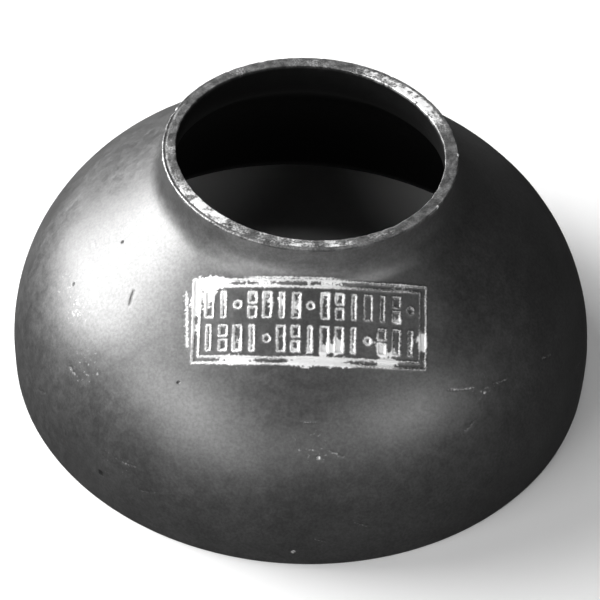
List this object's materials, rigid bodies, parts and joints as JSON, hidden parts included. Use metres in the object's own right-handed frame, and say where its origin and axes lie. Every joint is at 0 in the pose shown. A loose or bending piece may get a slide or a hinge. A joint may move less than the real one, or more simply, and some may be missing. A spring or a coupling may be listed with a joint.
{
  "type": "concentric reducer",
  "caption": "Short concentric butt-weld reducer: one seamless pressed steel shell that joins a large pipe to a smaller one in line.",
  "frame": {"origin": "centre of the large end's face", "axes": "+Z along the flow axis from the large end to the small end, -Y through the identification panel"},
  "size_m": [0.159, 0.159, 0.07],
  "materials": {
    "scaled_steel": "dark hot-forming scale with a satin sheen, bare bright metal on the cut ends, the stamp and the scratches"
  },
  "bodies": {
    "root": {"reducer_body": "scaled_steel"}
  },
  "joints": []
}
